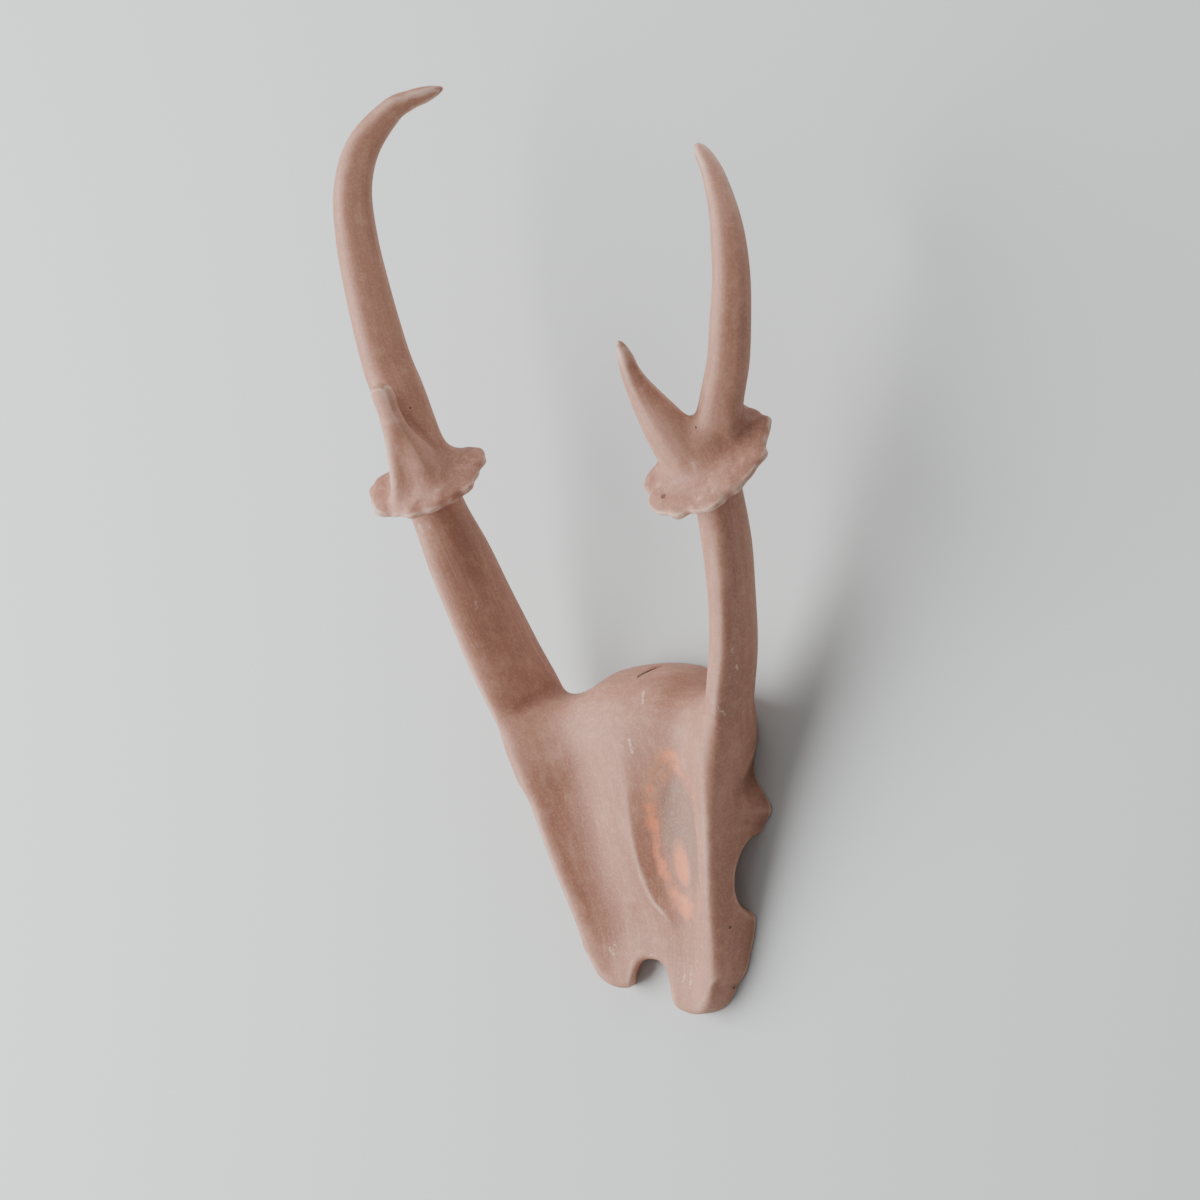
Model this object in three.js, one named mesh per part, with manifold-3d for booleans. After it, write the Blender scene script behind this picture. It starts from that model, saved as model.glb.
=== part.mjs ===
// Skull cap of a small deer, sawn off flat, with both pedicles and both antlers. Millimetres, +Z up.
// It lies on its sawn face: nose end towards -Y, antlers towards +Y, the animal's left side towards +X.
// Each piece is a smooth surface around a distance field: ridged plate, stalks, burrs, beams and tines.
import * as THREE from 'three';
import { mergeVertices } from 'three/addons/utils/BufferGeometryUtils.js';
import Module from 'manifold-3d';

// Frontal plate. Rows run from the nose end (y = 0) back to the foot of the pedicles.
const RIDGE = [ // y, half-distance between the two frontal ridges, height of the ridges
  [-6, 16.5, 7.5], [5.8, 18.4, 10], [16, 19.8, 12.2], [26.5, 21.6, 16.1], [37, 24, 20],
  [51, 27, 24.6], [65, 31.6, 29.3], [77, 36, 33], [87, 39, 36],
];
const RIDGE_ROUNDING = 2.4;
const SILL = [ // y, half-width of the plate at the sawn face
  [-6, 15], [0, 17.5], [3, 19.2], [6.7, 21.7], [16.4, 25], [21.3, 26.5], [27, 27], [40, 28],
  [46, 30.5], [49.5, 33], [54, 30], [59, 27], [70, 27.5], [80, 27], [90, 25],
];
const TROUGH = [ // y, depth below the ridges
  [-6, 1], [8, 2], [20, 4.2], [40, 7], [60, 8.6], [75, 9], [90, 9],
];
const BULGE = [ // y, rise of the midline
  [0, 0.2], [15, 0.8], [30, 3.4], [50, 4.6], [65, 4.2], [80, 3],
];
const BULGE_HALF_WIDTH = 7.5;
const REAR_Y = 88; // hindmost point of the braincase rim
const DOME_START_Y = 56;
const DOME_HEIGHT = 31;
const LOBE = { x: 11.8, y: 11.2, rx: 8.6, ry: 10 }; // rounded nasal lobe on either side of the notch
const LEFT_LOBE_LONGER = 5.5; // the animal's left lobe reaches this much further forward
const NOTCH = { y: 1.5, rx: 5.4, ry: 9.6, lean: 0.4 };
const ORBIT = { x: 33, y: 33, rx: 13.8, ry: 11, rz: 10 }; // roof of the eye socket, open at the sawn face
const UNCUT = 4; // stock under the sawn face before the cut
const BOWL = { y: 62, rx: 15.5, ry: 14.5, rz: 9.5 }; // hollow of the braincase in the sawn face

// Pedicle rows: x, y, z, half-depth, half-width. The broad axis points up and a little outwards.
const PEDICLE = [
  [29, 64, 14.5, 10.5, 6], [33, 78, 20.1, 11.8, 5.6], [36.5, 90, 24.8, 11.2, 5.1],
  [39.5, 102, 29.9, 10.3, 4.9], [42, 114, 35.5, 9.5, 5.5], [43.7, 125, 41.4, 7.9, 5.7],
  [44.2, 134, 46.4, 7.4, 6.2], [45, 142, 50, 7, 6],
];
const PEDICLE_BROAD = [0.31, 0, 0.95];
const SEAT_GAP = 0.3; // between the top of a pedicle and the burr that sits on it
const BURR_UNDERSIDE = 1.8; // from the middle plane of the burr down to its seat

// Antlers. Rows of beam and tine: x, y, z, half-width, half-thickness; each is drawn out to its point.
const LEFT_ANTLER = {
  side: 1,
  burr: {
    at: [43.7, 133.8, 46.6], axis: [-0.06, 0.57, 0.82], long: [0.69, 0.5, -0.5],
    a: 17.4, near: 17, far: 14.5, // half-sizes: along long, and to either side of it
  },
  beam: [
    [44.6, 132, 44, 7.2, 6.4], [47.6, 141, 47.6, 6.8, 5.8], [50.2, 148, 49.6, 6.4, 5.4],
    [53.4, 156.5, 51.6, 6, 5.2], [56.6, 166, 54.9, 5.7, 5], [58.4, 175, 57, 5.4, 4.6],
    [57.8, 184, 57.6, 4.9, 4.2], [55.1, 191.7, 56.2, 3.9, 3.5], [50.2, 200, 52.6, 3, 2.8],
    [46.4, 204.6, 49.8, 2.4, 2.3],
  ],
  beamPoint: [39.6, 210.9, 44.8],
  tine: [
    [42.6, 132.5, 50, 8, 7.2], [40.8, 135.5, 52.5, 7.2, 6.4], [37.6, 142.7, 57, 5, 4.7],
    [34.6, 149.7, 61.2, 3.3, 3.1], [33.7, 153.9, 64, 2.6, 2.5],
  ],
  tinePoint: [33.4, 161, 68.3],
};
const RIGHT_ANTLER = {
  side: -1,
  burr: {
    at: [-44, 135.6, 46.6], axis: [0.1, 0.7, 0.7], long: [0.69, 0.1, -0.5],
    a: 16, near: 16.8, far: 7.5,
  },
  beam: [
    [-44, 134, 45, 7.4, 6.6], [-46.8, 144.5, 48.1, 7, 6], [-50.4, 156, 50, 6.8, 5.6],
    [-53.8, 165.5, 51.6, 6.6, 5.4], [-56.8, 181.8, 54.9, 6.1, 5], [-59.6, 197, 57, 5.6, 4.8],
    [-60.2, 210, 58, 5.1, 4.5], [-58, 221, 56.4, 4.6, 4.2], [-51.6, 230.4, 52.8, 3.3, 3.2],
    [-47.4, 233.4, 50, 2.5, 2.4],
  ],
  beamPoint: [-40.4, 236.5, 44.8],
  tine: [
    [-41.5, 133, 51.5, 6, 5.4], [-42.6, 140, 56, 3.6, 3], [-44.4, 146.5, 59, 3.2, 2.6],
    [-45.9, 153, 61, 3, 2.6],
  ],
  tinePoint: [-46.9, 157.6, 62.3],
};
const BURR_HALF_THICKNESS = 2.4;
const BURR_FLARE = 9; // how far the burr sweeps up into the beam
const TINE_FILLET = 3;

// Facet sizes: x, y, z.
const CAP_CELL = [2.8, 3.8, 2.7];
const ANTLER_CELL = [2.25, 3.3, 2.25];
const EVENING_PASSES = 3;

const COLOR = 0xb08c7e;

function unit(v) {
  const n = Math.hypot(...v);
  return v.map((c) => c / n);
}

function dot(a, b) {
  return a[0] * b[0] + a[1] * b[1] + a[2] * b[2];
}

function cross(a, b) {
  return [a[1] * b[2] - a[2] * b[1], a[2] * b[0] - a[0] * b[2], a[0] * b[1] - a[1] * b[0]];
}

// Blended minimum and maximum: the joint between two forms is a fillet of about size k.
function smin(a, b, k) {
  const h = Math.max(k - Math.abs(a - b), 0) / k;
  return Math.min(a, b) - h * h * k * 0.25;
}

function smax(a, b, k) {
  return -smin(-a, -b, k);
}

function smooth(from, to, x) {
  const t = THREE.MathUtils.clamp((x - from) / (to - from), 0, 1);
  return t * t * (3 - 2 * t);
}

// Smooth profile through rows [x, value, ...], reading the given column.
function profile(rows, column = 1) {
  const slopes = rows.slice(1).map((r, i) => (r[column] - rows[i][column]) / (r[0] - rows[i][0]));
  const tangents = rows.map((r, i) => {
    const before = slopes[Math.max(i - 1, 0)];
    const after = slopes[Math.min(i, slopes.length - 1)];
    return (before + after) / 2;
  });
  return (x) => {
    const at = THREE.MathUtils.clamp(x, rows[0][0], rows[rows.length - 1][0]);
    let i = 0;
    while (i < rows.length - 2 && at > rows[i + 1][0]) i += 1;
    const w = rows[i + 1][0] - rows[i][0];
    const t = (at - rows[i][0]) / w;
    const t2 = t * t;
    const t3 = t2 * t;
    return (2 * t3 - 3 * t2 + 1) * rows[i][column] + (t3 - 2 * t2 + t) * w * tangents[i]
      + (3 * t2 - 2 * t3) * rows[i + 1][column] + (t3 - t2) * w * tangents[i + 1];
  };
}

// Smooth run through rows of any length, n points.
function spline(rows, n) {
  const last = rows.length - 1;
  const ends = [
    rows[0].map((c, j) => 2 * c - rows[1][j]),
    ...rows,
    rows[last].map((c, j) => 2 * c - rows[last - 1][j]),
  ];
  return Array.from({ length: n }, (_, k) => {
    const u = (k / (n - 1)) * last;
    const i = Math.min(Math.floor(u), last - 1);
    const t = u - i;
    const [a, b, c, d] = ends.slice(i, i + 4);
    return b.map((_, j) => 0.5 * (2 * b[j] + (c[j] - a[j]) * t
      + (2 * a[j] - 5 * b[j] + 4 * c[j] - d[j]) * t * t
      + (3 * b[j] - a[j] - 3 * c[j] + d[j]) * t * t * t));
  });
}

// Distance field of a curved stalk of elliptic section. Rows: x, y, z, half-size along broad and across it.
function stalk(rows, steps, broad) {
  const run = spline(rows, steps);
  const parts = run.slice(1).map((end, i) => {
    const start = run[i];
    const along = [end[0] - start[0], end[1] - start[1], end[2] - start[2]];
    const length = Math.hypot(...along);
    const dir = unit(along);
    const lean = dot(broad, dir);
    const major = unit(broad.map((c, j) => c - dir[j] * lean));
    return { start, end, along, length, dir, major, minor: cross(dir, major) };
  });
  return (x, y, z) => {
    let best = Infinity;
    let value = 1000;
    for (const part of parts) {
      const w = [x - part.start[0], y - part.start[1], z - part.start[2]];
      const t = THREE.MathUtils.clamp(dot(w, part.dir) / part.length, 0, 1);
      const q = w.map((c, j) => c - t * part.along[j]);
      const a = part.start[3] + t * (part.end[3] - part.start[3]);
      const b = part.start[4] + t * (part.end[4] - part.start[4]);
      const reach = Math.hypot(...q) - a;
      if (reach < best) {
        best = reach;
        const cap = Math.min(a, b);
        const u = dot(q, part.major);
        const v = dot(q, part.minor);
        const s = dot(q, part.dir);
        const k0 = Math.hypot(u / a, v / b, s / cap) + 1e-9;
        const k1 = Math.hypot(u / (a * a), v / (b * b), s / (cap * cap)) + 1e-9;
        value = (k0 * (k0 - 1)) / k1;
      }
    }
    return value;
  };
}

function mirrored(rows) {
  return rows.map(([x, ...rest]) => [-x, ...rest]);
}

function capField() {
  const ridgeX = profile(RIDGE, 1);
  const ridgeZ = profile(RIDGE, 2);
  const sill = profile(SILL);
  const trough = profile(TROUGH);
  const bulge = profile(BULGE);
  const [bx, by, bz] = PEDICLE_BROAD;
  const pedicles = [stalk(PEDICLE, 30, [bx, by, bz]), stalk(mirrored(PEDICLE), 30, [-bx, by, bz])];

  return (x, y, z) => {
    const ax = Math.abs(x);
    const yy = y + (LEFT_LOBE_LONGER * smooth(-4, 4, x) - 1.5) * smooth(32, 8, y);
    const rx = ridgeX(yy);
    const rz = ridgeZ(yy);

    // Upper face: two ridges with a trough beside each and a low swelling on the midline.
    const s = Math.min(ax / rx, 1.15);
    const face = ax > rx
      ? rz - 1.6 * (ax - rx)
      : rz - trough(yy) * (1 - s ** 3.5) + bulge(yy) * Math.exp(-((ax / BULGE_HALF_WIDTH) ** 2.5));
    const top = (z - face) * 0.85;

    // Side wall from the ridge down to the sill, a little swollen behind the eye.
    const v = THREE.MathUtils.clamp(z / rz, -0.3, 1.1);
    const wall = sill(yy) + (rx + 1 - sill(yy)) * v + 2 * smooth(56, 64, yy) * (1 - (2 * v - 1) ** 2);
    let d = smax(top, (ax - wall) * 0.9, RIDGE_ROUNDING);

    // Braincase rounding down to its rim at the back.
    const span = REAR_Y - 0.0115 * x * x - DOME_START_Y;
    const rear = Math.hypot(Math.max(y - DOME_START_Y, 0) / span, Math.max(z, 0) / DOME_HEIGHT) - 1;
    d = smax(d, rear * 26, 9);

    // Nose end: a rounded lobe on either side of the notch.
    const lobe = (Math.hypot((ax - LOBE.x) / LOBE.rx, (yy - LOBE.y) / LOBE.ry) - 1) * 8;
    d = smax(d, Math.max(yy < LOBE.y ? lobe : -4, 0.6 - yy), 2);
    const notch = Math.hypot((x - NOTCH.lean * (z - 8)) / NOTCH.rx, (y - NOTCH.y) / NOTCH.ry) - 1;
    d = smax(d, -notch * 5, 1.5);

    for (const pedicle of pedicles) d = smin(d, pedicle(x, y, z), 7);

    const orbit = Math.hypot((ax - ORBIT.x) / ORBIT.rx, (y - ORBIT.y) / ORBIT.ry, z / ORBIT.rz) - 1;
    d = smax(d, -orbit * 10.5, 1.6);
    const bowl = Math.hypot(x / BOWL.rx, (y - BOWL.y) / BOWL.ry, z / BOWL.rz) - 1;
    d = smax(d, -bowl * 14, 2);

    // The plate ends a little under the sawn face, and is then cut off flat there.
    return Math.max(d, -UNCUT - z);
  };
}

function antlerField({ side, burr, beam, tine }) {
  const axis = unit(burr.axis);
  const lean = dot(burr.long, axis);
  const long = unit(burr.long.map((c, j) => c - axis[j] * lean));
  const across = cross(axis, long);
  const back = Math.sign(across[1]);
  const beamStalk = stalk(beam, 56, [0.8 * side, 0, 0.6]);
  const tineStalk = stalk(tine, 24, [0.8 * side, 0, -0.6]);

  return (x, y, z) => {
    const q = [x - burr.at[0], y - burr.at[1], z - burr.at[2]];
    const h = dot(q, axis);
    const u = dot(q, long);
    const v = dot(q, across);
    const turn = Math.atan2(v, u);
    const rho = Math.hypot(u, v);
    const depth = v * back > 0 ? burr.far : burr.near;
    const scallops = 1 + 0.035 * Math.cos(7 * turn + side) + 0.025 * Math.cos(11 * turn + 2);
    const rim = scallops / Math.hypot(Math.cos(turn) / burr.a, Math.sin(turn) / depth);
    const k0 = (Math.abs(rho / rim) ** 3 + Math.abs(h / BURR_HALF_THICKNESS) ** 3) ** (1 / 3);
    const k1 = Math.hypot(rho / (rim * rim), h / (BURR_HALF_THICKNESS * BURR_HALF_THICKNESS)) + 1e-9;
    const ring = (k0 * (k0 - 1)) / k1;
    const stalks = smin(beamStalk(x, y, z), tineStalk(x, y, z), TINE_FILLET);
    return smin(stalks, ring, BURR_FLARE);
  };
}

// Moves a point along the field's slope until it lies on the surface.
function settle(field, point, limit) {
  const e = 0.02;
  let p = point;
  for (let pass = 0; pass < 3; pass += 1) {
    const d = field(...p);
    const slope = [0, 1, 2].map((m) => {
      const ahead = p.map((c, j) => (j === m ? c + e : c));
      const behind = p.map((c, j) => (j === m ? c - e : c));
      return (field(...ahead) - field(...behind)) / (2 * e);
    });
    const move = slope.map((c) => (-d * c) / Math.max(dot(slope, slope), 0.05));
    const scale = Math.min(1, limit / Math.max(Math.hypot(...move), 1e-9));
    p = p.map((c, j) => c + move[j] * scale);
  }
  return p;
}

// How many connected groups of like corners a grid cell (8 corners) or a cell face (4 corners) has.
function groups(inside) {
  const seen = new Set();
  let count = 0;
  for (let start = 0; start < inside.length; start += 1) {
    const stack = seen.has(start) ? [] : [start];
    count += stack.length;
    while (stack.length > 0) {
      const corner = stack.pop();
      seen.add(corner);
      for (let bit = 1; bit < inside.length; bit *= 2) {
        const next = corner ^ bit;
        if (!seen.has(next) && inside[next] === inside[corner]) stack.push(next);
      }
    }
  }
  return count;
}

// Turns over the grid value nearest to zero wherever the surface would pass twice through one cell or face.
function untangle(value, n, index) {
  const shapes = [[0, 1, 2], [0, 1], [1, 2], [0, 2]];
  let turned = true;
  while (turned) {
    turned = false;
    for (let i = 0; i < n[0] - 1; i += 1) {
      for (let j = 0; j < n[1] - 1; j += 1) {
        for (let k = 0; k < n[2] - 1; k += 1) {
          for (const axes of shapes) {
            const corners = Array.from({ length: 2 ** axes.length }, (_, c) => {
              const at = [i, j, k];
              axes.forEach((m, bit) => {
                at[m] += (c >> bit) & 1;
              });
              return index(...at);
            });
            if (groups(corners.map((c) => value[c] < 0)) > 2) {
              const weakest = corners.reduce((a, b) => (Math.abs(value[b]) < Math.abs(value[a]) ? b : a));
              value[weakest] = value[weakest] < 0 ? 1e-3 : -1e-3;
              turned = true;
            }
          }
        }
      }
    }
  }
}

// Closed mesh around the zero level of a field: one vertex for each grid cell that the surface crosses, and
// one four-sided facet for each grid edge that it crosses. The vertices are then evened out along it.
function skin(field, from, to, cell) {
  const n = from.map((c, j) => Math.ceil((to[j] - c) / cell[j]) + 1);
  const at = (i, j) => from[j] + i * cell[j];
  const index = (i, j, k) => (i * n[1] + j) * n[2] + k;
  const value = new Float64Array(n[0] * n[1] * n[2]);
  for (let i = 0; i < n[0]; i += 1) {
    for (let j = 0; j < n[1]; j += 1) {
      for (let k = 0; k < n[2]; k += 1) value[index(i, j, k)] = field(at(i, 0), at(j, 1), at(k, 2));
    }
  }
  untangle(value, n, index);
  const crosses = (a, b) => (value[index(...a)] < 0) !== (value[index(...b)] < 0);

  let points = [];
  const cellVertex = new Map();
  for (let i = 0; i < n[0] - 1; i += 1) {
    for (let j = 0; j < n[1] - 1; j += 1) {
      for (let k = 0; k < n[2] - 1; k += 1) {
        const sum = [0, 0, 0];
        let crossings = 0;
        for (let edge = 0; edge < 12; edge += 1) {
          const m = edge % 3;
          const a = [i, j, k];
          a[(m + 1) % 3] += (edge / 3) & 1;
          a[(m + 2) % 3] += (edge / 6) & 1;
          const b = a.map((c, l) => (l === m ? c + 1 : c));
          if (crosses(a, b)) {
            const t = value[index(...a)] / (value[index(...a)] - value[index(...b)]);
            a.forEach((c, l) => {
              sum[l] += at(c + (b[l] - c) * t, l);
            });
            crossings += 1;
          }
        }
        if (crossings > 0) {
          cellVertex.set(index(i, j, k), points.length);
          points.push(sum.map((c) => c / crossings));
        }
      }
    }
  }

  const rings = [];
  for (let i = 1; i < n[0] - 1; i += 1) {
    for (let j = 1; j < n[1] - 1; j += 1) {
      for (let k = 1; k < n[2] - 1; k += 1) {
        for (let m = 0; m < 3; m += 1) {
          const next = [i, j, k].map((c, l) => (l === m ? c + 1 : c));
          if (crosses([i, j, k], next)) {
            const ring = [[1, 1], [0, 1], [0, 0], [1, 0]].map(([back, down]) => {
              const c = [i, j, k];
              c[(m + 1) % 3] -= back;
              c[(m + 2) % 3] -= down;
              return cellVertex.get(index(...c));
            });
            rings.push(value[index(i, j, k)] < 0 ? ring : ring.reverse());
          }
        }
      }
    }
  }

  const limit = 0.4 * Math.min(...cell);
  points = points.map((p) => settle(field, p, limit));
  for (let pass = 0; pass < EVENING_PASSES; pass += 1) {
    const sums = points.map(() => [0, 0, 0, 0]);
    for (const ring of rings) {
      ring.forEach((a, corner) => {
        const b = ring[(corner + 1) % 4];
        points[b].forEach((c, j) => {
          sums[a][j] += c;
        });
        sums[a][3] += 1;
      });
    }
    points = points.map((p, i) => {
      const even = p.map((c, j) => 0.5 * c + (0.5 * sums[i][j]) / sums[i][3]);
      return settle(field, even, limit);
    });
  }

  const between = (a, b) => Math.hypot(...points[a].map((c, m) => c - points[b][m]));
  const triangles = rings.flatMap(([a, b, c, d]) => (
    between(a, c) <= between(b, d) ? [a, b, c, a, c, d] : [a, b, d, b, c, d]
  ));
  return { points, triangles };
}

// Draws the round end of a stalk out to its point.
function sharpen(mesh, rows, point) {
  const [x, y, z, radius] = rows[rows.length - 1];
  const end = [x, y, z];
  const reach = point.map((c, j) => c - end[j]);
  const out = unit(reach);
  const ahead = (p) => dot(p.map((c, j) => c - end[j]), out);
  const isEnd = (p) => ahead(p) > 0 && Math.hypot(...p.map((c, j) => c - end[j])) < 1.6 * radius;
  const furthest = Math.max(...mesh.points.filter(isEnd).map(ahead));
  mesh.points = mesh.points.map((p) => {
    if (!isEnd(p)) return p;
    const s = ahead(p) / furthest;
    return p.map((c, j) => {
      const across = c - end[j] - out[j] * ahead(p);
      return end[j] + reach[j] * s + across * (1 - 0.65 * s * s);
    });
  });
}

const wasm = await Module();
wasm.setup();

function solid(vertices, triangles) {
  return new wasm.Manifold(new wasm.Mesh({
    numProp: 3,
    vertProperties: new Float32Array(vertices),
    triVerts: new Uint32Array(triangles),
  }));
}

// A block whose lower face is centred on the point and faces against the axis.
function blockAbove(point, axis, width, height) {
  const box = new THREE.BoxGeometry(width, width, height);
  box.deleteAttribute('normal');
  box.deleteAttribute('uv');
  box.translate(0, 0, height / 2);
  const up = new THREE.Vector3(0, 0, 1);
  box.applyQuaternion(new THREE.Quaternion().setFromUnitVectors(up, new THREE.Vector3(...axis)));
  box.translate(...point);
  const merged = mergeVertices(box);
  return solid(merged.attributes.position.array, merged.index.array);
}

function seatPoint({ at, axis }, height) {
  const dir = unit(axis);
  return at.map((c, j) => c + dir[j] * height);
}

function capSolid() {
  const mesh = skin(capField(), [-58, -8, -7], [58, 148, 60], CAP_CELL);
  let cap = solid(mesh.points.flat(), mesh.triangles);
  cap = cap.subtract(blockAbove([0, 70, 0], [0, 0, -1], 300, 20));
  for (const { burr } of [LEFT_ANTLER, RIGHT_ANTLER]) {
    const seat = seatPoint(burr, -BURR_UNDERSIDE - SEAT_GAP);
    cap = cap.subtract(blockAbove(seat, unit(burr.axis), 50, 40));
  }
  return cap;
}

function antlerSolid(antler) {
  const { side, burr, beam, beamPoint, tine, tinePoint } = antler;
  const from = side > 0 ? [20, 112, 22] : [-70, 112, 22];
  const to = side > 0 ? [70, 218, 78] : [-20, 244, 78];
  const mesh = skin(antlerField(antler), from, to, ANTLER_CELL);
  sharpen(mesh, beam, beamPoint);
  sharpen(mesh, tine, tinePoint);
  const below = unit(burr.axis).map((c) => -c);
  return solid(mesh.points.flat(), mesh.triangles)
    .subtract(blockAbove(seatPoint(burr, -BURR_UNDERSIDE), below, 80, 40));
}

function meshOf(name, body) {
  const { vertProperties, triVerts } = body.getMesh();
  const geometry = new THREE.BufferGeometry();
  geometry.setAttribute('position', new THREE.BufferAttribute(new Float32Array(vertProperties), 3));
  geometry.setIndex(new THREE.BufferAttribute(new Uint32Array(triVerts), 1));
  geometry.computeVertexNormals();
  const clay = new THREE.MeshStandardMaterial({ color: COLOR, roughness: 0.85, metalness: 0 });
  const mesh = new THREE.Mesh(geometry, clay);
  mesh.name = name;
  return mesh;
}

const group = new THREE.Group();
group.add(meshOf('skull_cap', capSolid()));
group.add(meshOf('left_antler', antlerSolid(LEFT_ANTLER)));
group.add(meshOf('right_antler', antlerSolid(RIGHT_ANTLER)));

// The origin is on the ground under the middle of the whole.
const box = new THREE.Box3().setFromObject(group);
const middle = box.getCenter(new THREE.Vector3());
for (const mesh of group.children) mesh.geometry.translate(-middle.x, -middle.y, -box.min.z);

export default group;
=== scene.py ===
# Looks of a small deer's skull cap in matt pinkish clay, lying on its sawn face on a pale floor.
# Shapes are worked out in the skull's own frame in millimetres: x to the animal's left, y from the nose end
# back to the antlers, z up out of the sawn face. They become metres in the frame's own place at the end.
import itertools

import bpy
import numpy as np
from mathutils import Matrix, Vector


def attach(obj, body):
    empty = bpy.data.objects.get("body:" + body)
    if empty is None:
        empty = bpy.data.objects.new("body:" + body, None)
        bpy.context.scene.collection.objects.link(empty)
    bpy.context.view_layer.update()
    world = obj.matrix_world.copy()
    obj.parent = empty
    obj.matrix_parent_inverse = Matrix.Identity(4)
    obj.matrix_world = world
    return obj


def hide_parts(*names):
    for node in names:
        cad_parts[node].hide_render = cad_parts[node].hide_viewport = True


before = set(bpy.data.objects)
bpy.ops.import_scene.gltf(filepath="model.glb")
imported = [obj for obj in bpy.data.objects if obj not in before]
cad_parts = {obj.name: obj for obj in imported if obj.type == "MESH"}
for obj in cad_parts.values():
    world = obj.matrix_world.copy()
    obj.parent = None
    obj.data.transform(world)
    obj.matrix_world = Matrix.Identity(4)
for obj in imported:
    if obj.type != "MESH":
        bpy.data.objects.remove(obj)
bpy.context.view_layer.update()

# Place of the part's origin in the skull's own frame.
MIDDLE = np.array([-0.9115, 117.0685, 0.0])
MM = 0.001

# Frontal plate. Each row starts with y.
RIDGE = [  # half-distance between the ridges, height of the ridges
    (-6, 16.5, 7.5), (5.8, 18.4, 10), (16, 19.8, 12.2), (26.5, 21.6, 16.1), (37, 24, 20),
    (51, 27, 24.6), (65, 31.6, 29.3), (77, 36, 33), (87, 39, 36),
]
SILL = [  # half-width at the sawn face
    (-6, 15), (0, 17.5), (3, 19.2), (6.7, 21.7), (16.4, 25), (21.3, 26.5), (27, 27), (40, 28),
    (46, 29.6), (49.5, 31.6), (54, 29), (59, 26), (70, 26.4), (80, 26.2), (90, 24.6),
]
TROUGH = [(-6, 1.5), (8, 3), (20, 5.2), (40, 7.4), (60, 8.2), (75, 8), (90, 8)]  # depth below the ridges
BULGE = [  # rise of the midline
    (0, 0), (18, 0.4), (25, 1.6), (33, 2.8), (50, 3.6), (65, 4), (80, 3), (90, 1.6),
]
CREASE = [  # x of the crease at the bulge's foot on the animal's left
    (16, 10), (20, 8.4), (23, 6.8), (26, 4.6), (34, 2.6), (42, 2), (48, 2.2), (55, 3), (62, 4), (75, 5.5),
]
CREASE_DEPTH = [(17, 0), (22, 0.25), (28, 0.35), (45, 0.2), (58, 0.1), (72, 0)]
VALLEY = 0.42  # where the troughs bottom out, as a share of the way to the ridge
TROUGH_POWER = 2.1  # how the trough's wall steepens towards the ridge
BULGE_REACH = 11  # from the crease towards the animal's right
CREASE_FALL = (-2.5, 6.5)  # the swelling drops between these distances from the crease
CREASE_FADE, CREASE_WIDENING = (42, 74), 11  # between these y the drop widens by so much
GROOVE_X, GROOVE_WIDTH = 2.2, 1.7  # groove at the crease's foot
LIP_X, LIP_WIDTH, LIP_SHARE = -1.6, 1.3, 1.4  # lip of the crease, its height as a share of the groove's depth
CREST_INSET, CREST_ABOVE = 0.6, 0.4  # of the ridge's crest, from the ridge's corner
SHOULDER_ABOVE, SHOULDER_SLOPE = 0.6, 0.5  # of the slope outside the crest
CREST_ROUNDING = 3.6
BEVEL, BEVEL_FADE = 2.6, (44, 66)  # width of the bevel outside each ridge, and the y between which it ends
RIDGE_ROUNDING = 2.4
DOME_X, DOME_START_Y, DOME_HEIGHT = 1, 56, 31  # braincase: its middle, where it starts to round down, height
REAR_Y = 87.3
DOME_CURVE = 0.0115  # how the braincase's rear rim curves forward from its middle, per millimetre
DOME_STEP, DOME_STEP_FADE = 1.8, (9, 16)  # the rim steps forward between these distances from its middle
DOME_LEAST_SPAN, DOME_ROUNDING = 6, 8
LEFT_LOBE_LONGER, RIGHT_LOBE_SHORTER, LOBES_FADE = 5.5, 1.5, (32, 8)
LOBE_X, LOBE_Y, LOBE_OUTER, LOBE_LENGTH = 11.5, 12, 9, 10.65  # middle of a nasal lobe, half-width, length
LOBE_FLARE, LOBE_ROUNDING = 0.1, 2
BEHIND_LOBES = [(7, 8, 18), (30, 18, 32)]  # the lobes let go of the plate by so much between these two y
MIDLINE_EASE = (-4, 4)  # x between which the two sides' lengths meet
NOTCH_AT, NOTCH_SIZE, NOTCH_ROUNDING = (-1.2, 1), (5.8, 9.8), 1.8  # between the lobes: x and y
NOTCH_LEAN, NOTCH_MIDDLE_Z = (0.55, 0.25), 8  # lean of the notch's right and left wall
ORBIT_AT, ORBIT_SIZE, ORBIT_ROUNDING = (33, 33, 0), (14.9, 11, 10), 1.6
BOWL_AT, BOWL_SIZE, BOWL_ROUNDING = (0, 62, 0), (15.5, 14.5, 9.5), 2  # hollow of the braincase
RIM_ROUNDING = 0.8  # edge of the sawn face
SLIT = ((2.4, 82.2, 17.7), (3.6, 85.9, 10.6))  # gash in the back of the braincase
SLIT_DEPTH, SLIT_WIDTH = 0.7, 0.9
FACE_SCALE, WALL_SCALE, LOBE_SCALE, DOME_SCALE = 0.85, 0.9, 7.5, 26  # from each face's measure to millimetres
NOTCH_SCALE, ORBIT_SCALE, BOWL_SCALE = 5, 10.5, 14
PEDICLE = [  # x, y, z, half-depth, half-width
    (27.4, 64, 14.5, 10.5, 5), (32.2, 78, 20.1, 11.8, 5.2), (36.4, 90, 24.8, 11.2, 5.4),
    (39.5, 102, 29.9, 10.3, 5.4), (42, 114, 35.5, 9.5, 5.8), (43.7, 125, 41.4, 7.9, 5.9),
    (44.2, 134, 46.4, 7.4, 6.2), (45, 142, 50, 7, 6),
]
PEDICLE_BROAD = (0.31, 0, 0.95)
PEDICLE_POWER = 1.85  # a keel to the front and flat flanks
PEDICLE_FILLET = 9
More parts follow.
